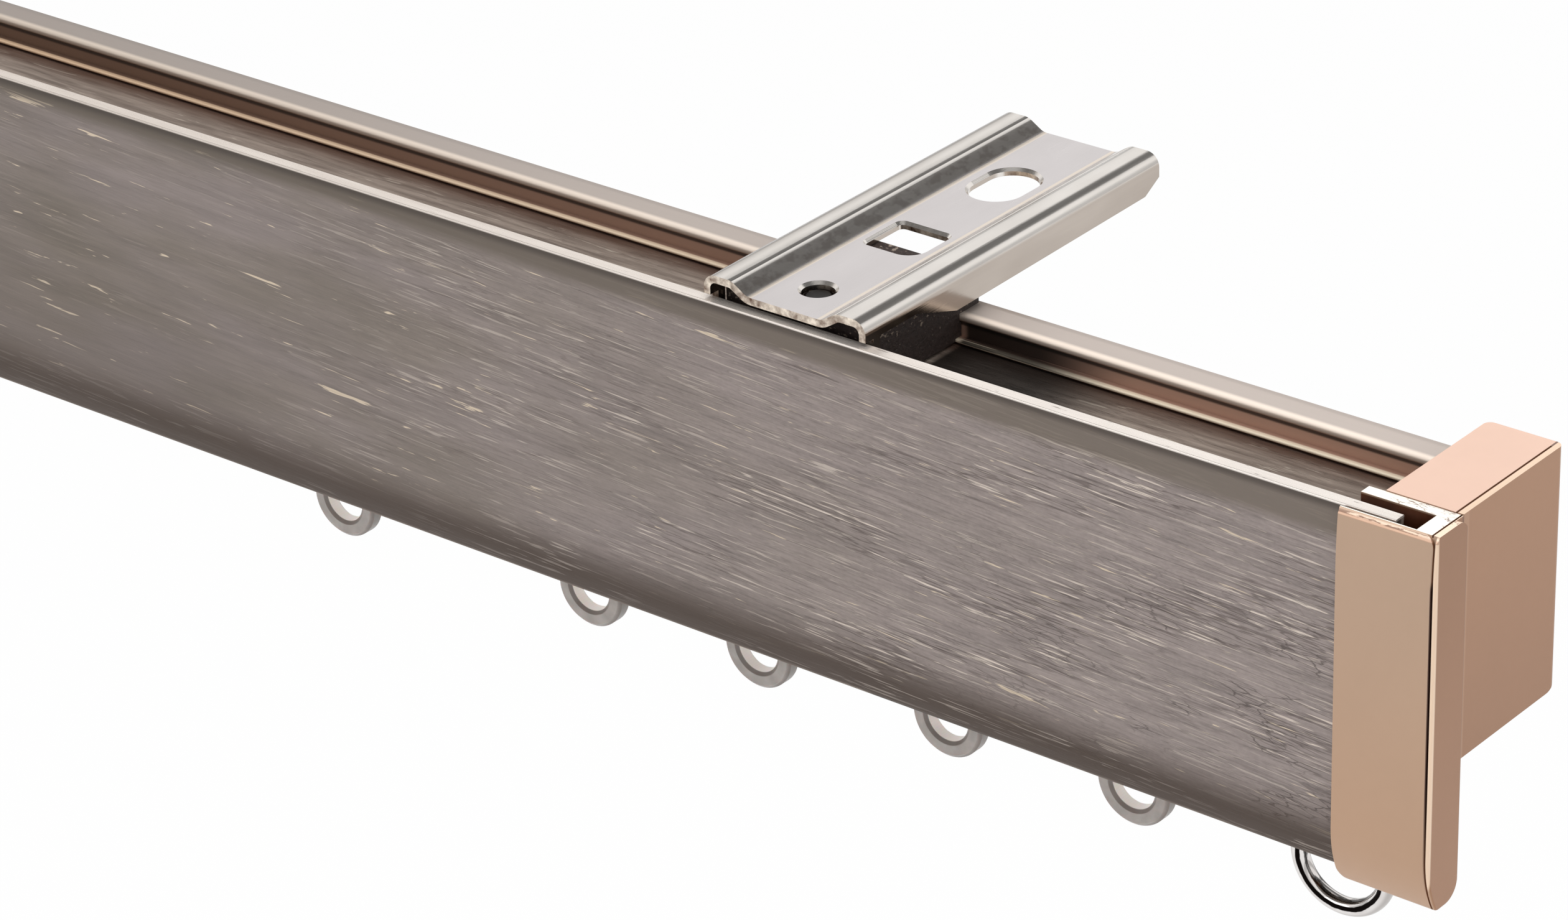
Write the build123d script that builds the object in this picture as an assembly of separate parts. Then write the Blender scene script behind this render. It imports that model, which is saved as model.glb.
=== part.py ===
from build123d import *
import os

# Ceiling-mounted curtain track with a tall front fascia, in millimetres.
# X runs along the track, +Y points away from the room, +Z points up.
# The origin is at mid-length, above the glider slot, in the plane of the ceiling.

# Whole track
overall_length = 600.0
ceiling_to_fascia = 3.2

# Fascia extrusion: crowned front face, curled foot, shelf behind and a lower hook
fascia_height = 48.3
fascia_wall = 1.7
fascia_edge = 0.12
fascia_face_to_slot = 17.0
fascia_top_setback = 0.4
fascia_top_run = 8.0
fascia_curl = 1.5
fascia_curl_run = 6.5
fascia_end_gap = 6.3
shelf_drop = 7.6
shelf_thickness = 1.2
bead_drop = 2.0
bead_height = 1.0
bead_depth = 0.9

# Rail extrusion: glider channel below, closed chamber, riser with a nose and a lip above
rail_width = 18.0
rail_drop = 30.8
rail_wall = 1.2
riser_width = 4.0
riser_drop = 3.8
riser_nose = 0.5
nose_thickness = 1.1
lip_reach = 1.4
lip_thickness = 0.6
channel_height = 10.2
channel_lip = 1.2
slot_width = 5.6
ridge_width = 0.9
ridge_height = 0.5
extrusion_slack = 0.1

# Hooks that hold the fascia to the front of the rail
hook_wall = 1.2
hook_reach = 3.9
hook_tongue = 3.8
hook_drop = 21.0
hook_slack = 0.25

# End caps: a sleeve round the fascia's end and a box round the rail's end
cap_end_wall = 3.2
cap_slack = 0.15
sleeve_length = 13.35
sleeve_front_wall = 0.9
sleeve_cavity = 4.0
sleeve_rear_wall = 1.7
sleeve_foot = 1.35
sleeve_foot_front_round = 1.0
sleeve_foot_rear_round = 2.6
sleeve_foot_start_round = 1.9
sleeve_bevel_depth = 0.35
sleeve_bevel_height = 0.75
sleeve_corner_round = 1.6
sleeve_shoulder_round = 2.0
end_edge_round = 0.32
box_length = 11.05
box_end_inset = 0.7
box_wall = 1.1
box_step = 0.15
box_bottom_wall = 1.05
box_corner_round = 1.0
box_foot_round = 2.0
plug_length = 8.0
groove_width = 0.25
groove_depth = 0.3
rim_inset = 0.8
rim_groove_stop = 1.3

# Ceiling brackets, pressed from one sheet
bracket_from_end = 95.2
bracket_length = 61.3
bracket_overhang_front = 15.7
bracket_width = 25.2
bracket_sheet = 1.0
bracket_rib_height = 1.5
bracket_flat_width = 11.6
bracket_rib_slope = 2.4
bracket_shoulder = 1.9
front_hole_diameter = 4.3
front_hole_from_front = 6.8
square_hole_size = 7.8
square_hole_corner = 0.8
square_hole_soft_corner = 2.4
square_hole_from_front = 24.7
slot_hole_width = 7.2
slot_hole_length = 10.6
slot_hole_from_front = 45.0
hole_rim = 0.4
flange_height = 5.4
flange_step_start = 10.2
flange_step_length = 8.0
tail_rise = 0.5
tail_chamfer_length = 3.1
tail_chamfer_height = 1.7
tooth_width = 1.3
tooth_foot = 0.8

# Clamp blocks that lock the brackets into the fascia's channel
block_slack = 0.1
block_nib = 0.35
block_shoulder = 4.0
clamp_screw_diameter = 4.1
clamp_head_diameter = 7.0
clamp_head_height = 2.2
screw_end_below_plate = 0.8
screw_point = 0.5

# Gliders: carrier in the channel, stem through the slot, long neck and an eye
glider_length = 12.0
glider_corner = 1.5
glider_carrier_height = 3.0
glider_side_gap = 0.45
glider_seat_gap = 0.1
glider_stem_width = 4.8
glider_stem_length = 6.0
glider_collar_height = 1.4
glider_collar_width = 8.0
glider_neck_width = 5.0
glider_neck_thickness = 2.4
glider_waist = 0.5
eye_diameter = 11.0
eye_hole_diameter = 6.4
eye_chamfer = 0.45
eye_centre_drop = 58.4
shown_glider_spots = (53.7, 82.7, 113.7, 142.5, 187.2)
hidden_glider_start = 267.0
hidden_glider_count = 7

# End stops with a hanging ring
stop_from_end = 23.1
stop_length = 13.0
stop_body_height = 6.0
stop_foot_width = 5.2
stop_plate_width = 10.0
stop_plate_height = 1.6
stop_screw_diameter = 4.0
stop_screw_socket = 2.0
stop_screw_socket_depth = 2.2
stop_screw_offset = 3.7
screw_slack = 0.1
lug_thickness = 2.8
lug_width = 6.4
lug_hole_diameter = 3.5
ring_outer_diameter = 15.0
ring_wire = 2.3
ring_seat_gap = 0.35
ring_bottom_drop = 66.2

# Heights that several pieces share
fascia_top_z = -ceiling_to_fascia
fascia_bottom_z = fascia_top_z - fascia_height
shelf_top_z = fascia_top_z - shelf_drop
shelf_bottom_z = shelf_top_z - shelf_thickness
rail_top_z = shelf_bottom_z - extrusion_slack
riser_top_z = fascia_top_z - riser_drop
rail_bottom_z = fascia_top_z - rail_drop
lip_bottom_z = shelf_top_z + extrusion_slack
lip_top_z = lip_bottom_z + lip_thickness
channel_bottom_z = rail_bottom_z + channel_lip
channel_top_z = channel_bottom_z + channel_height
chamber_bottom_z = channel_top_z + rail_wall
chamber_top_z = rail_top_z - rail_wall
sleeve_foot_z = fascia_bottom_z - cap_slack - sleeve_foot
box_top_z = fascia_top_z + box_step
box_bottom_z = rail_bottom_z - cap_slack - box_bottom_wall

# Depths that several pieces share
fascia_face_y = -fascia_face_to_slot
fascia_back_y = fascia_face_y + fascia_wall
rail_front_y = -rail_width / 2
rail_rear_y = rail_width / 2
riser_face_y = rail_rear_y - riser_width
shelf_rear_y = riser_face_y - 2 * extrusion_slack
rail_hook_y = rail_front_y - hook_reach
fascia_hook_y = rail_hook_y + hook_wall + hook_slack
sleeve_rear_y = fascia_face_y + sleeve_cavity + sleeve_rear_wall
box_rear_y = rail_rear_y + cap_slack + box_wall

# Places along the track
end_x = overall_length / 2
rail_end_x = end_x - cap_end_wall - cap_slack
fascia_end_x = end_x - fascia_end_gap
sleeve_start_x = end_x - sleeve_length
box_start_x = end_x - box_length
box_end_x = end_x - box_end_inset
cut_back = sleeve_length + 2 * cap_slack


def run_along_x(section, start_x, finish_x):
    """Extrude a section drawn in (Y, Z) from one place along the track to another."""
    return Pos(start_x, 0, 0) * extrude(Plane.YZ * section, amount=finish_x - start_x)


def rectangle(low_u, high_u, low_v, high_v):
    """A rectangle given by its four sides."""
    centre = Pos((low_u + high_u) / 2, (low_v + high_v) / 2)
    return centre * Rectangle(high_u - low_u, high_v - low_v)


def block(low, high):
    """A box given by its lowest and highest corners."""
    size = [top - bottom for bottom, top in zip(low, high)]
    middle = [(top + bottom) / 2 for bottom, top in zip(low, high)]
    return Pos(*middle) * Box(*size)


def arc_radius(setback, run):
    """Radius of an arc that starts upright and leaves the vertical by setback over run."""
    return (run**2 + setback**2) / (2 * setback)


def crowned_outline(proud, thickness, foot_z):
    """Front plate in (Y, Z): upright middle, crowned top, and a foot curled to the rear.

    proud is how far the front stands in front of the fascia's face, thickness is measured
    square to that front, and foot_z is how low the front reaches.
    """
    crown = arc_radius(fascia_top_setback, fascia_top_run)
    curl = arc_radius(fascia_curl, fascia_curl_run)
    crown_centre = (fascia_face_y + crown, fascia_top_z - fascia_top_run)
    curl_centre = (fascia_face_y + curl, fascia_bottom_z + fascia_curl_run)

    def on_arc(centre, radius, height):
        reach = (radius**2 - (height - centre[1]) ** 2) ** 0.5
        return (centre[0] - reach, height)

    def squared(centre, radius, point):
        share = radius / ((point[0] - centre[0]) ** 2 + (point[1] - centre[1]) ** 2) ** 0.5
        across = centre[0] + (point[0] - centre[0]) * share
        return (across, centre[1] + (point[1] - centre[1]) * share)

    front_crown = crown + proud
    front_curl = curl + proud
    top_front = on_arc(crown_centre, front_crown, fascia_top_z)
    top_middle = on_arc(crown_centre, front_crown, (fascia_top_z + crown_centre[1]) / 2)
    foot_front = on_arc(curl_centre, front_curl, foot_z)
    foot_middle = on_arc(curl_centre, front_curl, (foot_z + curl_centre[1]) / 2)
    inner_crown = front_crown - thickness
    inner_curl = front_curl - thickness
    top_back = on_arc(crown_centre, inner_crown, fascia_top_z)
    top_back_middle = on_arc(crown_centre, inner_crown, (fascia_top_z + crown_centre[1]) / 2)
    foot_back = squared(curl_centre, inner_curl, foot_front)
    foot_back_middle = squared(curl_centre, inner_curl, foot_middle)
    upright_top = (fascia_face_y - proud, crown_centre[1])
    upright_foot = (fascia_face_y - proud, curl_centre[1])
    back_top = (upright_top[0] + thickness, upright_top[1])
    back_foot = (upright_foot[0] + thickness, upright_foot[1])
    edges = [
        ThreePointArc(top_front, top_middle, upright_top),
        Line(upright_top, upright_foot),
        ThreePointArc(upright_foot, foot_middle, foot_front),
        Line(foot_front, foot_back),
        ThreePointArc(foot_back, foot_back_middle, back_foot),
        Line(back_foot, back_top),
        ThreePointArc(back_top, top_back_middle, top_back),
        Line(top_back, top_front),
    ]
    return make_face(edges)


def fascia_section():
    """Crowned plate with a bead under its top edge, a shelf and an upturned hook."""
    plate = crowned_outline(0, fascia_wall, fascia_bottom_z)
    plate = fillet(plate.vertices().group_by(Axis.Y)[-1], fascia_edge)
    root_y = fascia_back_y - fascia_wall / 2
    bead_top = fascia_top_z - bead_drop
    bead_y = fascia_back_y + bead_depth
    bead = make_face(
        Polyline(
            (root_y, bead_top + bead_depth),
            (fascia_back_y, bead_top + bead_depth),
            (bead_y, bead_top),
            (bead_y, bead_top - bead_height),
            (root_y, bead_top - bead_height),
            close=True,
        )
    )
    shelf = rectangle(root_y, shelf_rear_y, shelf_bottom_z, shelf_top_z)
    hook_top_z = fascia_top_z - hook_drop - hook_wall
    web_top_z = hook_top_z - hook_tongue - hook_slack
    hook_rear_y = fascia_hook_y + hook_wall
    web = rectangle(root_y, hook_rear_y, web_top_z - hook_wall, web_top_z)
    tongue = rectangle(fascia_hook_y, hook_rear_y, web_top_z, hook_top_z - hook_slack)
    return plate + bead + shelf + web + tongue


def fascia_panel():
    """The fascia, with its shelf and hook cut back at both ends to clear the caps."""
    body = run_along_x(fascia_section(), -fascia_end_x, fascia_end_x)
    clear_y = rail_front_y - cap_slack
    for side in (-1, 1):
        edge = side * (end_x - cut_back)
        low_x, high_x = sorted((edge, side * end_x))
        notch = block(
            (low_x, fascia_back_y, shelf_bottom_z - extrusion_slack),
            (high_x, clear_y, shelf_top_z + extrusion_slack),
        )
        lower_notch = block(
            (low_x, fascia_back_y, fascia_bottom_z + fascia_curl_run),
            (high_x, clear_y, shelf_bottom_z),
        )
        body = body - notch - lower_notch
    return body


def rail_section():
    """Extruded rail: channel with a bottom slot, closed chamber, riser, nose, lip and hook."""
    shell = rectangle(rail_front_y, rail_rear_y, rail_bottom_z, rail_top_z)
    riser = rectangle(riser_face_y, rail_rear_y, rail_top_z - rail_wall, riser_top_z)
    nose_bottom = riser_top_z - nose_thickness
    nose = rectangle(riser_face_y - riser_nose, riser_face_y + rail_wall, nose_bottom, riser_top_z)
    nose = fillet(nose.vertices().group_by(Axis.X)[0], nose_thickness * 0.4)
    lip = rectangle(riser_face_y - lip_reach, riser_face_y + rail_wall, lip_bottom_z, lip_top_z)
    lip = fillet(lip.vertices().group_by(Axis.X)[0], lip_thickness * 0.4)
    hook_top_z = fascia_top_z - hook_drop
    web = rectangle(rail_hook_y, rail_front_y + rail_wall, hook_top_z - hook_wall, hook_top_z)
    tongue = rectangle(
        rail_hook_y, rail_hook_y + hook_wall, hook_top_z - hook_wall - hook_tongue, hook_top_z
    )
    chamber = rectangle(
        rail_front_y + rail_wall, rail_rear_y - rail_wall, chamber_bottom_z, chamber_top_z
    )
    riser_hollow = rectangle(
        riser_face_y + rail_wall, rail_rear_y - rail_wall, chamber_top_z, riser_top_z - rail_wall
    )
    channel = rectangle(
        rail_front_y + rail_wall, rail_rear_y - rail_wall, channel_bottom_z, channel_top_z
    )
    slot = rectangle(-slot_width / 2, slot_width / 2, rail_bottom_z, channel_bottom_z)
    ridges = [
        rectangle(low, low + ridge_width, channel_bottom_z, channel_bottom_z + ridge_height)
        for low in (-slot_width / 2 - ridge_width, slot_width / 2)
    ]
    section = shell + riser + nose + lip + web + tongue
    section = section - chamber - riser_hollow - channel - slot
    for ridge in ridges:
        section = section + ridge
    return section


def track_rail():
    """The rail, with its front hook cut back at both ends to clear the caps."""
    body = run_along_x(rail_section(), -rail_end_x, rail_end_x)
    for side in (-1, 1):
        low_x, high_x = sorted((side * (end_x - cut_back), side * end_x))
        body = body - block(
            (low_x, rail_hook_y, rail_bottom_z), (high_x, rail_front_y, rail_top_z)
        )
    return body


def cap_front_y(height):
    """Depth of the cap's crowned front at a height above its upright middle."""
    crown = arc_radius(fascia_top_setback, fascia_top_run)
    outer = crown + cap_slack + sleeve_front_wall
    return fascia_face_y + crown - (outer**2 - height**2) ** 0.5


def sleeve_outline():
    """Outside of the cap's sleeve: the fascia's crowned front, a rounded foot, a straight back."""
    proud = cap_slack + sleeve_front_wall
    plate = crowned_outline(proud, proud + sleeve_cavity / 2, sleeve_foot_z)
    foot_front_y = plate.vertices().sort_by(Axis.Y)[0].X
    outline = plate + rectangle(foot_front_y, sleeve_rear_y, sleeve_foot_z, fascia_top_z)
    foot_corners = outline.vertices().group_by(Axis.Y)[0].sort_by(Axis.X)
    outline = fillet(foot_corners[-1], sleeve_foot_rear_round)
    foot_corners = outline.vertices().group_by(Axis.Y)[0].sort_by(Axis.X)
    return fillet(foot_corners[0], sleeve_foot_front_round)


def sleeve_body():
    """Solid sleeve with its rounded end edge, bevelled rim and rounded lower start."""
    body = run_along_x(sleeve_outline(), sleeve_start_x, end_x)
    end_face = body.faces().sort_by(Axis.X)[-1]
    body = fillet(end_face.edges().filter_by(Axis.Z).sort_by(Axis.Y)[0], end_edge_round)
    bevel_foot_z = fascia_top_z - sleeve_bevel_height
    rim_y = cap_front_y(fascia_top_run) + sleeve_bevel_depth
    bevel_y = cap_front_y(fascia_top_run - sleeve_bevel_height)
    clear = sleeve_bevel_height
    bevel = make_face(
        Polyline(
            (rim_y + sleeve_bevel_depth, fascia_top_z + sleeve_bevel_height),
            (bevel_y, bevel_foot_z),
            (bevel_y - clear, bevel_foot_z),
            (bevel_y - clear, fascia_top_z + sleeve_bevel_height),
            close=True,
        )
    )
    body = body - run_along_x(bevel, sleeve_start_x, end_x)
    front_view = rectangle(sleeve_start_x, end_x, sleeve_foot_z, fascia_top_z)
    lower_start = front_view.vertices().group_by(Axis.Y)[0].sort_by(Axis.X)[0]
    front_view = fillet(lower_start, sleeve_foot_start_round)
    depth = 2 * fascia_face_to_slot
    return body & (Pos(0, fascia_face_y + depth / 2, 0) * extrude(Plane.XZ * front_view, amount=depth))


def box_body():
    """Solid box behind the sleeve, rounded at its rear corners and its lower rear edge."""
    side_view = rectangle(sleeve_rear_y, box_rear_y, box_bottom_z, box_top_z)
    lower_rear = side_view.vertices().group_by(Axis.Y)[0].sort_by(Axis.X)[-1]
    side_view = fillet(lower_rear, box_foot_round)
    plan = rectangle(box_start_x, box_end_x, sleeve_rear_y, box_rear_y)
    rear_corners = plan.vertices().group_by(Axis.Y)[-1]
    plan = fillet(rear_corners, box_corner_round)
    upright = Pos(0, 0, box_bottom_z) * extrude(plan, amount=box_top_z - box_bottom_z)
    return run_along_x(side_view, box_start_x, box_end_x) & upright


def corner_waste(low, high, axis):
    """What a rounding takes off the upper right corner of a block, seen along one axis."""
    size = [top - bottom for bottom, top in zip(low, high)]
    radius = size[2]
    if axis == "y":
        round_end = Pos(low[0], (low[1] + high[1]) / 2, low[2]) * Rot(90, 0, 0)
        length = size[1]
    else:
        round_end = Pos((low[0] + high[0]) / 2, low[1], low[2]) * Rot(0, 90, 0)
        length = size[0]
    return block(low, high) - round_end * Cylinder(radius, 2 * length)


def end_cap():
    """Right-hand cap: sleeve and box moulded in one, with a plug for the rail's chamber."""
    cap = sleeve_body() + box_body()
    inner_end_x = end_x - cap_end_wall
    cavity_rear_y = fascia_face_y + sleeve_cavity
    cavity = run_along_x(
        rectangle(fascia_face_y - cap_slack, cavity_rear_y, fascia_bottom_z / 2, fascia_top_z),
        sleeve_start_x,
        inner_end_x,
    )
    plate_room = crowned_outline(cap_slack, fascia_wall + 2 * cap_slack, fascia_bottom_z - cap_slack)
    plate_slot = run_along_x(plate_room, sleeve_start_x, inner_end_x)
    rail_room = block(
        (box_start_x, rail_front_y - cap_slack, rail_bottom_z - cap_slack),
        (inner_end_x, rail_rear_y + cap_slack, box_top_z - box_wall),
    )
    cap = cap - cavity - plate_slot - rail_room

    plug = block(
        (
            inner_end_x - plug_length,
            rail_front_y + rail_wall + cap_slack,
            chamber_bottom_z + cap_slack,
        ),
        (
            end_x - cap_end_wall / 2,
            rail_rear_y - rail_wall - cap_slack,
            chamber_top_z - cap_slack,
        ),
    )
    return cap + plug - cap_grooves() - cap_corners()


def cap_grooves():
    """Fine grooves that set the cap's end plate off from its front, its rim and its top."""
    proud = cap_slack + sleeve_front_wall
    front_line = crowned_outline(proud, groove_depth, sleeve_foot_z)
    front_end_x = end_x - end_edge_round
    front = run_along_x(front_line, front_end_x - groove_width, front_end_x)
    rim_end_x = end_x - rim_inset
    rim = block(
        (rim_end_x - groove_width, fascia_face_y - proud, fascia_top_z - groove_depth),
        (rim_end_x, sleeve_rear_y, fascia_top_z),
    )
    top_end_x = box_end_x - rim_inset
    top = block(
        (top_end_x - groove_width, sleeve_rear_y, box_top_z - groove_depth),
        (top_end_x, box_rear_y - rim_groove_stop, box_top_z),
    )
    return front + rim + top


def cap_corners():
    """Rounded upper corners: the front's, beside the end plate, and the end plate's own."""
    proud = cap_slack + sleeve_front_wall
    front_end_x = end_x - end_edge_round - groove_width
    front_y = fascia_face_y - proud
    front = corner_waste(
        (front_end_x - sleeve_corner_round, front_y, fascia_top_z - sleeve_corner_round),
        (front_end_x, front_y + fascia_top_setback + groove_depth, fascia_top_z),
        "y",
    )
    shoulder = corner_waste(
        (box_end_x, sleeve_rear_y - sleeve_shoulder_round, fascia_top_z - sleeve_shoulder_round),
        (end_x, sleeve_rear_y, fascia_top_z),
        "x",
    )
    return front + shoulder


def bracket_section():
    """Pressed sheet in (X, Z): flat middle, a raised rib each side and flanges turned down."""
    top_z = 0.0
    flat_z = -bracket_rib_height
    half = bracket_width / 2
    flat_half = bracket_flat_width / 2
    rib_half = flat_half + bracket_rib_slope
    flange_z = riser_top_z - bracket_sheet
    path = FilletPolyline(
        (-half, flange_z),
        (-half, top_z),
        (-rib_half, top_z),
        (-flat_half, flat_z),
        (flat_half, flat_z),
        (rib_half, top_z),
        (half, top_z),
        (half, flange_z),
        radius=bracket_shoulder,
    )
    return make_face(offset(path, amount=bracket_sheet, side=Side.RIGHT, closed=True).edges())


def bracket_flange_outline():
    """Side view in (Y, Z) of what stays of the flanges: hook tooth, sloped front, cut tail."""
    front_y = -bracket_overhang_front
    tail_y = front_y + bracket_length
    stub_z = -bracket_rib_height - bracket_sheet - hook_slack
    tooth_y = fascia_back_y + bead_depth + hook_slack
    under_bead_z = fascia_top_z - bead_drop - bead_height - hook_slack
    tooth_z = under_bead_z - tooth_foot
    step_y = front_y + flange_step_start
    tail_corner_z = -flange_height + tail_rise
    tail_low_z = tail_corner_z + tail_chamfer_height
    spare = bracket_sheet
    return make_face(
        Polyline(
            (front_y - spare, spare),
            (front_y - spare, stub_z),
            (tooth_y, stub_z),
            (tooth_y, under_bead_z),
            (tooth_y - tooth_foot, under_bead_z),
            (tooth_y - tooth_foot, tooth_z),
            (tooth_y + tooth_width, tooth_z),
            (tooth_y + tooth_width, stub_z),
            (step_y, stub_z),
            (step_y + flange_step_length, -flange_height),
            (tail_y - tail_chamfer_length, tail_corner_z),
            (tail_y, tail_low_z),
            (tail_y + spare, tail_low_z),
            (tail_y + spare, spare),
            close=True,
        )
    )


def bracket_plate():
    """Stamped ceiling bracket, centred on X = 0, with its three holes."""
    front_y = -bracket_overhang_front
    blank = Pos(0, front_y + bracket_length, 0) * extrude(
        Plane.XZ * bracket_section(), amount=bracket_length
    )
    side_view = Pos(-bracket_width, 0, 0) * extrude(
        Plane.YZ * bracket_flange_outline(), amount=2 * bracket_width
    )
    plate = blank & side_view
    flat_z = -bracket_rib_height
    round_hole = Circle(front_hole_diameter / 2)
    square_hole = Rectangle(square_hole_size, square_hole_size)
    corners = square_hole.vertices().sort_by(Axis.Y)
    soft_corner = corners[:2].sort_by(Axis.X)[-1]
    square_hole = fillet(soft_corner, square_hole_soft_corner)
    sharp_corners = [
        corner
        for corner in square_hole.vertices()
        if abs(abs(corner.X) - square_hole_size / 2) + abs(abs(corner.Y) - square_hole_size / 2) < 0.01
    ]
    square_hole = fillet(sharp_corners, square_hole_corner)
    slot_hole = Rot(0, 0, 90) * SlotOverall(slot_hole_length, slot_hole_width)
    for shape, distance in (
        (round_hole, front_hole_from_front),
        (square_hole, square_hole_from_front),
        (slot_hole, slot_hole_from_front),
    ):
        punch = extrude(shape, amount=2 * bracket_sheet)
        rim = loft([shape, Pos(0, 0, hole_rim) * offset(shape, amount=hole_rim)])
        plate = plate - Pos(0, front_y + distance, flat_z - 2 * bracket_sheet) * punch
        plate = plate - Pos(0, front_y + distance, flat_z - hole_rim) * rim
    return plate


def clamp_block():
    """Moulded block under the bracket: a nib under the riser's nose, a shoulder over its top."""
    sheet_bottom = -bracket_rib_height - bracket_sheet
    front_y = fascia_back_y + bead_depth + hook_slack + tooth_width + block_slack
    rear_y = riser_face_y - riser_nose - block_slack
    lip_y = riser_face_y - lip_reach - block_slack
    half_inner = bracket_width / 2 - bracket_sheet - block_slack
    low_z = shelf_top_z + block_slack
    step_z = lip_top_z + block_slack
    nib_top = riser_top_z - nose_thickness - block_slack
    shoulder_z = riser_top_z + block_slack
    top_z = sheet_bottom - block_slack
    outline = make_face(
        Polyline(
            (front_y, top_z),
            (front_y, low_z),
            (lip_y, low_z),
            (lip_y, step_z),
            (rear_y + block_nib, step_z),
            (rear_y + block_nib, nib_top),
            (rear_y, nib_top + block_nib),
            (rear_y, shoulder_z),
            (rear_y + block_shoulder, shoulder_z),
            (rear_y + block_shoulder, top_z),
            close=True,
        )
    )
    body = run_along_x(outline, -half_inner, half_inner)
    body = chamfer(body.edges().filter_by(Axis.Y).group_by(Axis.Z)[0], block_nib)
    return body - clamp_screw_room()


def screw_axis_y():
    """Depth of the screw that fixes the block to its bracket."""
    return -bracket_overhang_front + front_hole_from_front


def clamp_screw_room():
    """Clearance hole and head recess in the clamp block."""
    low_z = shelf_top_z + block_slack
    hole = Cylinder(clamp_screw_diameter / 2 + block_slack, 4 * shelf_drop)
    recess_depth = clamp_head_height + block_slack
    recess = Cylinder(
        clamp_head_diameter / 2 + block_slack,
        recess_depth,
        align=(Align.CENTER, Align.CENTER, Align.MIN),
    )
    return Pos(0, screw_axis_y(), low_z) * (hole + recess)


def clamp_screw():
    """Pan-head screw from below, its end just under the bracket's face."""
    head_z = shelf_top_z + 2 * block_slack
    tip_z = -bracket_rib_height - screw_end_below_plate
    head = Cylinder(
        clamp_head_diameter / 2, clamp_head_height, align=(Align.CENTER, Align.CENTER, Align.MIN)
    )
    head = chamfer(head.edges().sort_by(Axis.Z)[0], clamp_head_height / 4)
    shank = Cylinder(
        clamp_screw_diameter / 2, tip_z - head_z, align=(Align.CENTER, Align.CENTER, Align.MIN)
    )
    shank = chamfer(shank.edges().sort_by(Axis.Z)[-1], screw_point)
    drive = cross_recess(clamp_head_diameter / 2, clamp_head_height / 2)
    return Pos(0, screw_axis_y(), head_z) * (head + shank - drive)


def cross_recess(span, depth):
    """Cross-shaped driver recess at a screw head's lower face."""
    arm = span / 3
    start = (Align.CENTER, Align.CENTER, Align.MIN)
    return Box(span, arm, depth, align=start) + Box(arm, span, depth, align=start)


def cut_corner_rectangle(length, width):
    """A glider's rectangle in plan, with its corners cut off."""
    plan = Rectangle(length, width)
    return chamfer(plan.vertices(), glider_corner)


def glider():
    """One-piece glider at X = 0: carrier, stem, collar, waisted neck and eye."""
    seat_z = channel_bottom_z + ridge_height + glider_seat_gap
    carrier_half = rail_width / 2 - rail_wall - glider_side_gap
    carrier = extrude(
        Pos(0, 0, seat_z) * cut_corner_rectangle(glider_length, 2 * carrier_half),
        amount=glider_carrier_height,
    )
    carrier = chamfer(carrier.edges().group_by(Axis.Z)[-1], glider_side_gap)
    collar_top = rail_bottom_z - glider_seat_gap * 3
    collar_bottom = collar_top - glider_collar_height
    stem = block(
        (-glider_stem_length / 2, -glider_stem_width / 2, collar_bottom),
        (glider_stem_length / 2, glider_stem_width / 2, seat_z + glider_carrier_height / 2),
    )
    collar = extrude(
        Pos(0, 0, collar_bottom) * cut_corner_rectangle(glider_length, glider_collar_width),
        amount=glider_collar_height,
    )
    eye_z = fascia_top_z - eye_centre_drop
    neck = block(
        (-glider_neck_width / 2, -glider_neck_thickness / 2, eye_z + eye_hole_diameter * 0.7),
        (glider_neck_width / 2, glider_neck_thickness / 2, collar_bottom),
    )
    neck = chamfer(neck.edges().filter_by(Axis.Z), eye_chamfer)
    waist_width = glider_neck_width / 2
    for side in (-1, 1):
        waist = block(
            (-waist_width / 2, -glider_waist, eye_z + eye_diameter * 0.8),
            (waist_width / 2, glider_waist, collar_bottom - glider_neck_thickness),
        )
        neck = neck - Pos(0, side * glider_neck_thickness / 2, 0) * waist
    eye = Cylinder(eye_diameter / 2, glider_neck_thickness)
    eye = chamfer(eye.edges().filter_by(GeomType.CIRCLE), eye_chamfer)
    hole = Cylinder(eye_hole_diameter / 2, 2 * glider_neck_thickness)
    eye = Pos(0, 0, eye_z) * Rot(90, 0, 0) * eye
    hole = Pos(0, 0, eye_z) * Rot(90, 0, 0) * hole
    body = carrier + stem + collar + neck + eye - hole
    rims = body.edges().filter_by(GeomType.CIRCLE)
    hole_rims = [edge for edge in rims if abs(edge.radius - eye_hole_diameter / 2) < 0.01]
    return chamfer(hole_rims, eye_chamfer)


def ring_top_z():
    """Height of the wire's centre at the top of the hanging ring."""
    return fascia_top_z - ring_bottom_drop + ring_outer_diameter - ring_wire / 2


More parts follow.
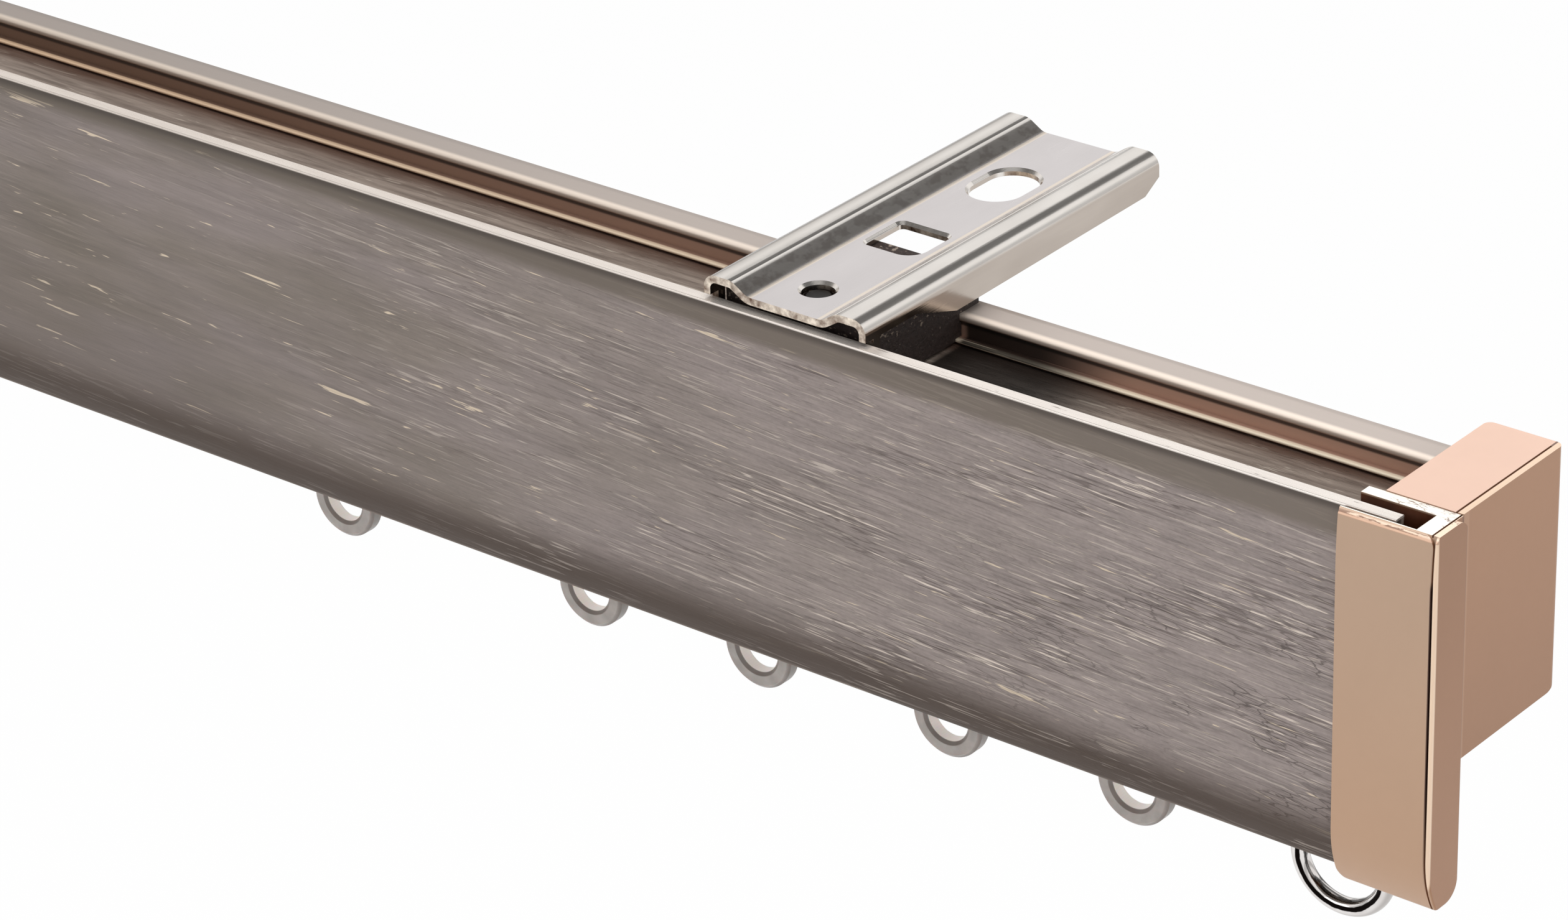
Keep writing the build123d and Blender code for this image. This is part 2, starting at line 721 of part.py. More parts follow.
def end_stop():
    """Stop at X = 0: body clamped in the channel, plate below the slot and a lug for the ring."""
    half = stop_length / 2
    body_half = rail_width / 2 - rail_wall - glider_side_gap
    seat_z = channel_bottom_z + ridge_height
    body = block((-half, -body_half, seat_z), (half, body_half, seat_z + stop_body_height))
    body = chamfer(body.edges().filter_by(Axis.X), glider_side_gap)
    foot = block(
        (-half, -stop_foot_width / 2, rail_bottom_z), (half, stop_foot_width / 2, seat_z)
    )
    plate = block(
        (-half, -stop_plate_width / 2, rail_bottom_z - stop_plate_height),
        (half, stop_plate_width / 2, rail_bottom_z),
    )
    plate = fillet(plate.edges().filter_by(Axis.Z), stop_plate_height)
    hole_z = ring_top_z() - ring_wire / 2 - ring_seat_gap + lug_hole_diameter / 2
    lug_top = rail_bottom_z - stop_plate_height
    blade = block(
        (-lug_thickness / 2, -lug_width / 2, hole_z),
        (lug_thickness / 2, lug_width / 2, lug_top),
    )
    tip = Rot(0, 90, 0) * Cylinder(lug_width / 2, lug_thickness)
    hole = Rot(0, 90, 0) * Cylinder(lug_hole_diameter / 2, 2 * lug_thickness)
    stop = body + foot + plate + blade + Pos(0, 0, hole_z) * tip
    screw_room = Cylinder(stop_screw_diameter / 2 + screw_slack, 4 * channel_height)
    return stop - Pos(0, 0, hole_z) * hole - Pos(stop_screw_offset, 0, rail_bottom_z) * screw_room


def stop_screw():
    """Headless screw with a hexagon socket that jacks the stop against the channel's roof."""
    foot_z = rail_bottom_z - stop_plate_height
    start = (Align.CENTER, Align.CENTER, Align.MIN)
    shank = Cylinder(stop_screw_diameter / 2, channel_top_z - foot_z, align=start)
    shank = chamfer(shank.edges().filter_by(GeomType.CIRCLE), stop_screw_diameter / 10)
    socket = extrude(RegularPolygon(stop_screw_socket / 2, 6, major_radius=False), stop_screw_socket_depth)
    return Pos(0, 0, foot_z) * (shank - socket)


def stop_ring():
    """Wire ring hanging upright in the stop's lug, facing the room."""
    major = (ring_outer_diameter - ring_wire) / 2
    ring = Rot(90, 0, 0) * Torus(major, ring_wire / 2)
    return Pos(0, 0, ring_top_z() - major) * ring


def glider_places():
    """X of each glider, from the right-hand end; the hidden ones are evenly spaced to the far stop."""
    first = end_x - hidden_glider_start
    last = -end_x + stop_from_end + stop_length / 2 + glider_length
    step = (first - last) / (hidden_glider_count - 1)
    shown = [end_x - spot for spot in shown_glider_spots]
    return shown + [first - step * index for index in range(hidden_glider_count)]


os.makedirs("parts", exist_ok=True)

right_cap = end_cap()
pieces = {
    "track_rail": track_rail(),
    "fascia_panel": fascia_panel(),
    "end_cap_right": right_cap,
    "end_cap_left": mirror(right_cap, about=Plane.YZ),
}

for name, side in (("right", 1), ("left", -1)):
    bracket_x = side * (end_x - bracket_from_end)
    pieces["bracket_plate_" + name] = Pos(bracket_x, 0, 0) * bracket_plate()
    pieces["clamp_block_" + name] = Pos(bracket_x, 0, 0) * clamp_block()
    pieces["clamp_screw_" + name] = Pos(bracket_x, 0, 0) * clamp_screw()
    stop_x = side * (end_x - stop_from_end)
    screw_x = stop_x - side * stop_screw_offset
    turned = Rot(0, 0, 180) if side > 0 else Rot(0, 0, 0)
    pieces["end_stop_" + name] = Pos(stop_x, 0, 0) * turned * end_stop()
    pieces["stop_screw_" + name] = Pos(screw_x, 0, 0) * stop_screw()
    pieces["stop_ring_" + name] = Pos(stop_x, 0, 0) * stop_ring()

one_glider = glider()
for number, place in enumerate(glider_places(), start=1):
    pieces[f"glider_{number:02d}"] = Pos(place, 0, 0) * one_glider

for name, shape in pieces.items():
    export_step(shape, f"parts/{name}.step")
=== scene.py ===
import math

import bpy
import numpy as np
from mathutils import Matrix, Vector


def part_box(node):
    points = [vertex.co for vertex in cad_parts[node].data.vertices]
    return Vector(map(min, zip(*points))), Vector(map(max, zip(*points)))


# Ceiling curtain track: a brushed fascia, a champagne rail, rose-gold caps, nickel brackets,
# gray gliders and chrome rings. Lengths are in metres, and in the materials in millimetres.

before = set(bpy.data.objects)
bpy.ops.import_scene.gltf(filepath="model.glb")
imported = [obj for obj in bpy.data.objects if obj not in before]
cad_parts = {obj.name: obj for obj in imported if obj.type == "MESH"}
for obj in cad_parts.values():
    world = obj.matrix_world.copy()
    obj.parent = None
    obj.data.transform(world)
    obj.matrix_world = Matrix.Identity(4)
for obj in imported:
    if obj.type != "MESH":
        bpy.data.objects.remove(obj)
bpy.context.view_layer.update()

# Camera, as the photograph's straight edges give it
camera_place = (0.58504, -0.47690, 0.28200)
camera_yaw = math.radians(39.56)
camera_pitch = math.radians(26.97)
camera_roll = math.radians(1.94)
camera_lens = 124.76
sensor_width = 36.0
camera_near = 0.01
camera_far = 100.0

# Floor: a plain pale sheet far below the track
floor_drop = 0.42
floor_reach = 6.0
floor_gray = 0.86
floor_white_share = 0.97

# Room: its brightness by height, where 0 is the horizon and 1 is straight up
room_tint = (1.0, 0.99, 0.98, 1.0)
horizon_level = 0.62
horizon_rise = (0.12, 0.30)
white_ring_level = 1.0
dark_ring_level = 0.17
dark_ring = (0.60, 0.84)
dark_ring_fade = 0.07
overhead_level = 0.55

# Materials: how far one seed moves the noise, the brushing's slant, and the cracks' jitter and fade
millimetres = 1000.0
seed_step = (-10.0, -7.0, -13.0)
brushing_slant = math.radians(2.5)
crack_jitter_scale = 1.7
crack_core = 0.3
nylon_glow_depth = 0.002


class Value:
    """One output of a node tree. Arithmetic on it adds Math nodes."""

    def __init__(self, nodes, socket):
        self.nodes = nodes
        self.socket = socket

    def __add__(self, other):
        return self.nodes.maths("ADD", self, other)

    def __sub__(self, other):
        return self.nodes.maths("SUBTRACT", self, other)

    def __rsub__(self, other):
        return self.nodes.maths("SUBTRACT", other, self)

    def __mul__(self, other):
        return self.nodes.maths("MULTIPLY", self, other)

    def __truediv__(self, other):
        return self.nodes.maths("DIVIDE", self, other)

    def __abs__(self):
        return self.nodes.maths("ABSOLUTE", self)

    __radd__ = __add__
    __rmul__ = __mul__


class Nodes:
    """A node tree under construction, whose values take part in Python expressions."""

    def __init__(self, tree):
        self.tree = tree

    def node(self, kind, sockets=None, output=0, **settings):
        """Adds a node: its settings first, then each socket's value or link."""
        made = self.tree.nodes.new(kind)
        for name, value in settings.items():
            setattr(made, name, value)
        for key, value in (sockets or {}).items():
            if isinstance(value, Value):
                self.tree.links.new(value.socket, made.inputs[key])
            else:
                made.inputs[key].default_value = value
        return Value(self, made.outputs[output])

    def maths(self, operation, *values):
        return self.node("ShaderNodeMath", dict(enumerate(values)), operation=operation)

    def split(self, vector):
        """The three numbers of a vector."""
        parts = self.tree.nodes.new("ShaderNodeSeparateXYZ")
        self.tree.links.new(vector.socket, parts.inputs[0])
        return [Value(self, output) for output in parts.outputs]

    def rise(self, value, start, end):
        """0 before start, 1 after end and a smooth rise between them; start may be the larger."""
        sockets = {0: value, 1: start, 2: end, 3: 0.0, 4: 1.0}
        if start > end:
            sockets = {0: value, 1: end, 2: start, 3: 1.0, 4: 0.0}
        return self.node("ShaderNodeMapRange", sockets, interpolation_type="SMOOTHSTEP")

    def band(self, value, low, high, soft):
        """1 between low and high, with edges that fade over soft."""
        return self.rise(value, low - soft, low) * self.rise(value, high + soft, high)

    def largest(self, *values):
        """The largest of several values."""
        most = values[0]
        for value in values[1:]:
            most = self.maths("MAXIMUM", most, value)
        return most


class Finish(Nodes):
    """A procedural material, with its place in millimetres and its facing as numbers."""

    def __init__(self, name, metallic=0.0, roughness=0.5):
        self.material = bpy.data.materials.new(name)
        self.material.use_nodes = True
        super().__init__(self.material.node_tree)
        self.shader = self.tree.nodes["Principled BSDF"]
        self.shader.inputs["Metallic"].default_value = metallic
        self.shader.inputs["Roughness"].default_value = roughness
        here = self.node("ShaderNodeTexCoord", output="Object")
        self.place = self.node(
            "ShaderNodeVectorMath", {0: here, "Scale": millimetres}, operation="SCALE"
        )
        facing = self.node("ShaderNodeTexCoord", output="Normal")
        self.x, self.y, self.z = self.split(self.place)
        self.facing_x, self.facing_y, self.facing_z = self.split(facing)

    def stretched(self, per_mm, seed, turn=0.0):
        """The place turned about Y, then with its own scale along each axis."""
        return self.node(
            "ShaderNodeMapping",
            {
                "Vector": self.place,
                "Location": tuple(step * seed for step in seed_step),
                "Rotation": (0.0, turn, 0.0),
                "Scale": tuple(1.0 / waves for waves in per_mm),
            },
            vector_type="TEXTURE",
        )

    def noise(self, per_mm, seed=0.0, detail=2.0, rough=0.5, turn=0.0, ragged=0.0):
        """Noise from 0 to 1 with its own number of waves per millimetre along each axis."""
        sockets = {
            "Vector": self.stretched(per_mm, seed, turn),
            "Scale": 1.0,
            "Detail": detail,
            "Roughness": rough,
            "Distortion": ragged,
        }
        return self.node("ShaderNodeTexNoise", sockets)

    def streaks(self, waves_along, waves_across, **shape):
        """Noise drawn out along the slant of the brushing."""
        per_mm = (waves_along, waves_across, waves_across)
        return self.noise(per_mm, turn=brushing_slant, **shape)

    def cracks(self, per_mm, width, seed=0.0, turn=0.0, wobble=0.0):
        """1 on thin lines between cells of their own size along each axis."""
        vector = self.stretched(per_mm, seed, turn)
        jitter = self.node(
            "ShaderNodeTexNoise", {"Vector": vector, "Scale": crack_jitter_scale}, output="Color"
        )
        sockets = {0: jitter, 1: (wobble, wobble, wobble), 2: vector}
        vector = self.node("ShaderNodeVectorMath", sockets, operation="MULTIPLY_ADD")
        sockets = {"Vector": vector, "Scale": 1.0}
        edge = self.node("ShaderNodeTexVoronoi", sockets, feature="DISTANCE_TO_EDGE")
        return self.rise(edge, width, width * crack_core)

    def beside_brackets(self, full, none):
        """1 along the track up to full millimetres past a bracket's outer side, 0 past none."""
        side = in_mm("bracket_plate_right")[1][0]
        reach = abs(self.x)
        return self.rise(reach, side + none, side + full) * self.rise(reach, side - 1.0, side)

    def mix(self, share, first, second):
        """A colour between first and second; each is a colour or a link."""
        ends = [end if isinstance(end, Value) else (*end, 1.0) for end in (first, second)]
        return self.node(
            "ShaderNodeMix",
            {0: share, 6: ends[0], 7: ends[1]},
            output=2,
            data_type="RGBA",
            clamp_factor=True,
        )

    def layered(self, tone, *layers):
        """A tone with each layer's colour laid over it in turn, by the layer's share."""
        for share, colour in layers:
            tone = self.mix(share, tone, colour)
        return tone

    def shade(self, colour, amount):
        """A colour made darker or lighter by a number."""
        gray = self.node("ShaderNodeCombineXYZ", {0: amount, 1: amount, 2: amount})
        return self.node("ShaderNodeVectorMath", {0: colour, 1: gray}, operation="MULTIPLY")

    def feed(self, **sockets):
        """Links or sets the shader's own sockets, named with underscores for spaces."""
        for name, value in sockets.items():
            socket = self.shader.inputs[name.replace("_", " ")]
            if isinstance(value, Value):
                self.tree.links.new(value.socket, socket)
            else:
                socket.default_value = value
        return self

    def bump(self, height, distance_mm, strength=1.0):
        """Feeds a height from 0 to 1 to the shader's normal."""
        normal = self.node(
            "ShaderNodeBump",
            {"Height": height, "Distance": distance_mm / millimetres, "Strength": strength},
        )
        return self.feed(Normal=normal)


def srgb(red, green, blue):
    """A linear colour from the usual 0 to 255 screen values."""
    return tuple(
        level / 12.92 if level <= 0.04045 else ((level + 0.055) / 1.055) ** 2.4
        for level in (red / 255, green / 255, blue / 255)
    )


def in_mm(node):
    """A CAD node's lowest and highest corners, in millimetres."""
    return [[side * millimetres for side in corner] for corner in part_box(node)]


def fascia_face(finish, coarse, fine, along, busy):
    """The brushed face: its tone, the height of its marks, and where it is smooth.

    along runs to 1 at the right-hand end, where the face is paler, and busy runs to 1 where
    the brushing is roughest.
    """
    low, high = in_mm("fascia_panel")
    depth = high[2] - finish.z
    cracked_lengths = (200.0, 285.0)
    cracked_depths = (12.0, 24.0)
    lower_left_lengths = (170.0, 60.0)
    lower_left_heights = (-16.0, -46.0)
    foot_heights = (10.0, 2.5)
    rim_depths = (1.5, 0.5)
    band_depth_left = 2.1
    band_growth = 2.2
    warm_taupe = srgb(122, 112, 102)
    mauve_taupe = srgb(138, 127, 123)
    pale_taupe = srgb(154, 142, 138)
    stroke_cream = srgb(226, 212, 200)
    cut_brown = srgb(84, 70, 66)
    seam_brown = srgb(82, 69, 64)
    scratch_cream = srgb(228, 210, 186)
    crack_brown = srgb(70, 58, 54)
    lower_left_brown = srgb(92, 80, 74)
    foot_shade_brown = srgb(62, 44, 30)
    band_shade_left = srgb(98, 88, 77)
    band_shade_right = srgb(120, 109, 99)
    rim_shade_brown = srgb(60, 50, 44)

    # Soft clouds of tone
    patches = finish.noise((0.03, 0.15, 0.10), seed=83)
    patchy = finish.rise(finish.noise((0.035, 0.12, 0.12), seed=51), 0.42, 0.60)
    blurred = finish.streaks(0.035, 0.45, seed=3)
    grain = finish.noise((1.4, 2.4, 2.4), seed=71)
    level = 1.03 + (blurred - 0.5) * 0.5 + (coarse - 0.5) * (0.35 - 0.05 * busy)
    level = level + (fine - 0.5) * (0.35 + 0.7 * busy) + (grain - 0.5) * 0.35 * busy
    tone = finish.mix(patches * 3.0 - 1.0, warm_taupe, mauve_taupe)
    tone = finish.shade(finish.mix(along, tone, pale_taupe), level)

    # Pale strokes, dark cuts, seams between strokes, single cream scratches, and cracks
    strokes = finish.streaks(0.09, 2.9, seed=31, detail=3, rough=0.6, ragged=0.3)
    strokes = finish.rise(strokes, 0.565, 0.60)
    cuts = finish.streaks(0.08, 3.2, seed=67, detail=2, rough=0.6, ragged=0.2)
    cuts = finish.rise(cuts, 0.38, 0.33)
    scratches = finish.streaks(0.09, 1.6, seed=41, detail=3, rough=0.6, ragged=0.5)
    scratches = finish.rise(scratches, 0.655, 0.69)
    seams = finish.streaks(0.045, 0.75, seed=59, detail=3, rough=0.6, ragged=0.3)
    seams = finish.rise(abs(seams - 0.5), 0.028, 0.008) * patchy * (0.1 + 0.45 * busy)
    cracks = finish.cracks(
        (0.26, 1.5, 1.5), width=0.05, seed=5, turn=brushing_slant * 2.0, wobble=0.45
    )
    crazed = finish.rise(finish.noise((0.07, 0.2, 0.2), seed=19), 0.47, 0.58)
    crazed = crazed * finish.rise(finish.x, *cracked_lengths)
    cracks = cracks * crazed * finish.rise(depth, *cracked_depths)
    spread = 0.35 + 0.65 * patchy
    tone = finish.layered(
        tone,
        (strokes * spread * (0.10 + 0.86 * busy), stroke_cream),
        (cuts * spread * (0.05 + 0.55 * busy), cut_brown),
        (seams, seam_brown),
        (scratches * 0.9, scratch_cream),
        (cracks * 0.65, crack_brown),
    )

    # Darker towards the lower left; painted shade, on smoother metal, where the face curls in below
    # and in a band under its cut top, with a thin painted dark line just under the top
    lower_left = finish.rise(finish.x, *lower_left_lengths) * finish.rise(finish.z, *lower_left_heights)
    foot = finish.rise(finish.z - low[2], *foot_heights)
    band_depth = band_depth_left + band_growth * along
    smooth_shaded_band = finish.rise(depth - band_depth, 1.1, -0.9)
    tone = finish.layered(
        tone,
        (lower_left * 0.4, lower_left_brown),
        (foot * (0.95 - strokes * patchy * 0.3), foot_shade_brown),
        (smooth_shaded_band * 0.92, finish.mix(along, band_shade_left, band_shade_right)),
        (finish.rise(depth, *rim_depths) * 0.7, rim_shade_brown),
    )
    relief = fine * 0.6 + strokes * 0.7 - cuts * 0.4 - seams * 0.6 - cracks * 0.6
    return tone, relief, finish.largest(smooth_shaded_band, foot * 0.8)


def fascia_shelf(finish, coarse):
    """The tone of the shelf and the back, which face the channel: dull, with painted shade under
    the lip.
    """
    shelf_dark = srgb(112, 99, 90)
    shelf_pale = srgb(156, 142, 131)
    scratch_pale = srgb(198, 186, 172)
    lip_shade_brown = srgb(78, 52, 40)
    lip_shade_from, lip_shade_to = -0.5, 3.4
    scratches = finish.streaks(0.09, 1.3, seed=29, detail=3, rough=0.7, ragged=0.8)
    return finish.layered(
        finish.mix(coarse * 3.0 - 1.0, shelf_dark, shelf_pale),
        (finish.rise(scratches, 0.60, 0.68) * 0.6, scratch_pale),
        # painted shade under the lip
        (finish.rise(finish.y, lip_shade_from, lip_shade_to) * 0.85, lip_shade_brown),
    )


def fascia_cut_top(finish, along):
    """The tone of the cut upper edge: rubbed bright metal, whiter and specked to the right."""
    rubbed_dark = finish.mix(along, srgb(206, 194, 184), srgb(240, 231, 223))
    rubbed_pale = finish.mix(along, srgb(226, 216, 207), srgb(254, 246, 239))
    speck_brown = srgb(96, 80, 70)
    rubbed = finish.noise((0.1, 1.2, 1.0), seed=97, detail=3, rough=0.6)
    specks = finish.rise(finish.noise((0.25, 1.6, 1.0), seed=13, detail=3), 0.67, 0.72) * along
    tone = finish.mix(rubbed * 1.4 - 0.2, rubbed_dark, rubbed_pale)
    return finish.mix(specks * 0.7, tone, speck_brown)


def brushed_fascia():
    """Taupe brushed metal: a marked face, a dull shelf behind it and a bright cut top."""
    low, high = in_mm("fascia_panel")
    pale_from = 70.0
    busy_lengths = (90.0, 235.0)
    back_from, back_to = low[1] + 1.3, low[1] + 1.6
    cut_depths = (0.35, 0.15)
    bracket_shadow_black = srgb(20, 15, 12)
    finish = Finish("brushed_taupe", metallic=0.25, roughness=0.5)
    along = finish.rise(finish.x, pale_from, high[0])
    busy = finish.rise(finish.x, *busy_lengths)
    coarse = finish.streaks(0.055, 1.0, seed=11, detail=3, rough=0.6, ragged=0.3)
    fine = finish.streaks(0.20, 3.0, seed=23, detail=3, rough=0.6)
    tone, relief, smooth = fascia_face(finish, coarse, fine, along, busy)
    behind = finish.rise(finish.y, back_from, back_to)
    cut_top = finish.rise(high[2] - finish.z, *cut_depths)
    tone = finish.layered(
        tone,
        (behind, fascia_shelf(finish, coarse)),
        # painted shadow in the channel beside the brackets
        (behind * finish.beside_brackets(full=13.0, none=30.0) * 0.93, bracket_shadow_black),
        (cut_top, fascia_cut_top(finish, along)),
    )
    relief = relief * (1.0 - finish.largest(smooth, cut_top)) * (0.3 + 0.7 * busy)
    finish.feed(Base_Color=tone, Metallic=0.22 + cut_top * 0.4)
    finish.feed(Roughness=0.50 - cut_top * 0.22 + (fine - 0.5) * 0.2)
    return finish.bump(relief, distance_mm=0.12, strength=0.8).material


def champagne_rail():
    """Anodised rail: pale top with a bright front edge that is a painted highlight, a brown inner
    wall painted for its shade and reflections, a cream lip that is a painted highlight with painted
    shade below, and painted shadow beside the brackets.
    """
    high = in_mm("track_rail")[1]
    nose_y = 4.5
    pale_lengths = (40.0, 290.0)
    nose_shadow_depths = (1.0, 1.45)
    wall_rear = 8.0
    wall_depths = (-1.0, 3.3)
    lip_depths = (3.0, 3.75)
    lip_edge_depth = 3.38
    lip_front = 4.1
    lip_rear = 4.9
    outside_dark = srgb(196, 178, 162)
    outside_pale = srgb(210, 192, 176)
    nose_shadow_black = srgb(40, 27, 22)
    nose_shade_brown = srgb(120, 98, 84)
    lip_shade_brown = srgb(78, 52, 40)
    bracket_shadow_black = srgb(20, 14, 11)
    finish = Finish("champagne_anodised", metallic=0.6, roughness=0.34)
    drawn = finish.noise((0.01, 6.0, 6.0), seed=5, detail=3, rough=0.6)
    cloud = finish.noise((0.03, 0.3, 0.3), seed=9)
    along = finish.rise(finish.x, *pale_lengths)
    drop = high[2] - finish.z
    up = finish.rise(finish.facing_z, 0.3, 0.8)

    # Tones that get paler towards the right-hand end
    top = finish.mix(along, srgb(154, 144, 137), srgb(200, 188, 180))
    # A painted highlight along the top's front edge
    front_edge_highlight = finish.mix(along, srgb(204, 190, 176), srgb(255, 240, 226))
    top = finish.mix(finish.rise(finish.y, nose_y + 1.35, nose_y + 0.5), top, front_edge_highlight)
    # The inner wall painted brown for its shade and the reflections it shows, with a painted shadow
    # line under the nose
    inner = finish.mix(along, srgb(120, 94, 78), srgb(198, 160, 141))
    inner = finish.mix(finish.band(drop, *nose_shadow_depths, 0.35) * 0.9, inner, nose_shadow_black)
    # The lip: a painted cream highlight, painted shade on its lower front, and the wall's painted
    # tone behind
    lip_highlight_and_shade = finish.layered(
        finish.mix(along, srgb(226, 194, 162), srgb(255, 240, 216)),
        (finish.rise(drop, lip_edge_depth, lip_edge_depth + 0.12), lip_shade_brown),
        (finish.rise(finish.y, lip_front, lip_front + 0.3) * up, inner),
    )

    # Where each tone lies, the lip last
    wall = finish.band(drop, *wall_depths, 0.1)
    wall = wall * finish.rise(finish.y, wall_rear + 0.6, wall_rear)
    # The nose's front face: the painted highlight fading into painted shade
    nose_front = finish.rise(drop, 1.0, 0.6) * finish.rise(finish.facing_y, -0.4, -0.8)
    lip = finish.band(drop, *lip_depths, 0.05) * finish.rise(finish.y, lip_rear + 0.1, lip_rear)
    # Painted shadow in the channel beside the brackets, broken by painted reflected streaks on the
    # lip
    reflected_streaks = finish.rise(finish.noise((0.06, 3.0, 3.0), seed=33), 0.56, 0.64) * lip
    shadow = finish.beside_brackets(full=10.0, none=26.0) * wall * finish.rise(drop, 0.6, 1.2)
    tone = finish.layered(
        finish.mix(cloud, outside_dark, outside_pale),
        (wall, inner),
        (nose_front, finish.mix(drop, front_edge_highlight, nose_shade_brown)),
        (up * finish.rise(drop, 0.4, 0.2), top),
        (lip, lip_highlight_and_shade),
        (shadow * (1.0 - reflected_streaks * 0.6) * 0.93, bracket_shadow_black),
    )
    tone = finish.shade(tone, 0.94 + drawn * 0.08 + cloud * 0.04)
    finish.feed(Base_Color=tone, Roughness=0.30 + drawn * 0.12 + wall * 0.15)
    finish.feed(Metallic=0.6 - wall * 0.35)
    return finish.bump(drawn, distance_mm=0.02, strength=0.4).material


def cap_faces(finish, up, on_box, sleeve_rear):
    """The tones of the cap's front, end, box and top, each painted lighter or darker for how light
    falls on it, with the seam between sleeve and box.
    """
    low, high = in_mm("end_cap_right")
    seam_highlight_cream = srgb(198, 160, 132)
    seam_brown = srgb(122, 86, 64)
    top_lit_rose = srgb(248, 210, 189)
    # Painted light by facing: the top palest, the front darker, the end and the box darker still
    front = finish.rise(finish.facing_y, -0.5, -0.9)
    height = finish.rise(finish.z, low[2], high[2])
    front_lit_tone = finish.mix(height, srgb(193, 157, 129), srgb(191, 161, 137))
    end_shaded_tone = finish.mix(height, srgb(169, 125, 94), srgb(160, 117, 86))
    box_shaded_tone = finish.mix(height, srgb(160, 116, 84), srgb(174, 130, 98))
    # A painted highlight on the box beside the seam
    seam_highlight = finish.band(finish.y, sleeve_rear + 0.2, sleeve_rear + 1.1, 0.2)
    seam_dark = finish.band(finish.y, sleeve_rear - 0.22, sleeve_rear + 0.05, 0.1)
    return finish.layered(
        finish.mix(front, finish.mix(on_box, end_shaded_tone, box_shaded_tone), front_lit_tone),
        (seam_highlight * (1.0 - up) * 0.35, seam_highlight_cream),
        (seam_dark * (1.0 - up) * 0.7, seam_brown),
        (up, top_lit_rose),
    )


def cap_grooves(finish, tone, up, on_box):
    """Painted cream highlights along the end plate's edges, each with painted shade in the groove
    inside it.
    """
    low, high = in_mm("end_cap_right")
    box_inset = 0.7
    strip = 0.8
    groove = 0.26
    faded_heights = (3.0, 18.0)
    groove_top = -10.0
    strip_highlight_cream = srgb(255, 226, 196)
    edge_highlight_cream = srgb(255, 226, 198)
    top_groove_shade = srgb(96, 62, 46)
    edge_groove_shade = srgb(72, 43, 29)
    out = abs(finish.x)
    from_end = out - (high[0] - on_box * box_inset)
    top_strip = finish.rise(from_end, -strip, -strip + 0.1) * up
    top_groove = finish.band(from_end, -strip - groove, -strip - 0.01, 0.04) * up
    edge_strip = finish.rise(finish.y, low[1] + 0.75, low[1] + 0.45)
    edge_strip = edge_strip * finish.rise(out, high[0] - 0.36, high[0] - 0.3)
    edge_groove = finish.band(out, high[0] - 0.68, high[0] - 0.33, 0.05)
    edge_groove = edge_groove * finish.rise(finish.y, low[1] + 0.8, low[1] + 0.6)
    ends = finish.rise(finish.z - low[2], *faded_heights)
    ends = ends * finish.rise(finish.z, groove_top + 1.5, groove_top)
    return finish.layered(
        tone,
        (top_strip * 0.8, strip_highlight_cream),
        (top_groove * 0.85, top_groove_shade),
        (edge_strip * 0.9, edge_highlight_cream),
        (edge_groove * (0.2 + 0.8 * ends) * (1.0 - up), edge_groove_shade),
    )


def cap_rim(finish, tone, up, on_box, speckle, mottle):
    """White crazed rim, chipped bevel below it with a painted highlight, and painted shade in the
    pocket behind, with their places.
    """
    low, high = in_mm("end_cap_right")
    rim_depth = in_mm("fascia_panel")[1][2] - finish.z
    pocket_front, pocket_rear = low[1] + 1.2, low[1] + 5.12
    pocket_end = high[0] - 3.0
    pocket_depth = 12.0
    rim_white = srgb(255, 248, 238)
    rim_cream = srgb(255, 228, 203)
    craze_brown = srgb(110, 76, 58)
    bevel_highlight = srgb(250, 226, 204)
    bevel_rose = srgb(206, 168, 142)
    chip_brown = srgb(112, 74, 54)
    out = abs(finish.x)

    rim = up * finish.rise(abs(rim_depth), 0.12, 0.06) * (1.0 - on_box)
    crazed = finish.rise(finish.noise((0.12, 0.3, 0.3), seed=44), 0.50, 0.58)
    crazing = finish.cracks((0.35, 1.3, 1.0), width=0.05, seed=7, wobble=1.2) * crazed
    crazing = finish.largest(crazing * 0.85, finish.rise(speckle, 0.66, 0.72) * 0.7)
    rim_tone = finish.mix(finish.rise(out, high[0] - 1.2, high[0] - 0.7), rim_white, rim_cream)

    # A painted highlight along the bevel, fading to rose, with chips worn in it
    bevel = finish.band(rim_depth, 0.1, 0.8, 0.06)
    bevel = bevel * finish.rise(finish.y, low[1] + 0.7, low[1] + 0.5)
    chips = finish.noise((0.25, 1.0, 1.6), seed=62, detail=4, rough=0.7)
    chips = finish.rise(chips, 0.50, 0.56) * finish.band(rim_depth, 0.22, 0.5, 0.1)
    bevel_tone = finish.mix(finish.rise(rim_depth, 0.25, 0.6), bevel_highlight, bevel_rose)
    bevel_tone = finish.mix(chips * 0.85, bevel_tone, chip_brown)

    # Painted shade in the pocket behind the front wall
    pocket = finish.band(finish.y, pocket_front, pocket_rear, 0.05)
    pocket = pocket * finish.rise(rim_depth, 0.05, 0.3)
    pocket = pocket * finish.rise(out, pocket_end, pocket_end - 0.1)
    pocket = pocket * finish.rise(rim_depth, pocket_depth, pocket_depth - 1.0)
    tone = finish.layered(
        tone,
        (rim, finish.mix(crazing, rim_tone, craze_brown)),
        (bevel * (1.0 - rim) * 0.9, bevel_tone),
        (pocket, finish.mix(mottle, srgb(52, 24, 12), srgb(120, 70, 46))),
    )
    return tone, rim, pocket, crazing


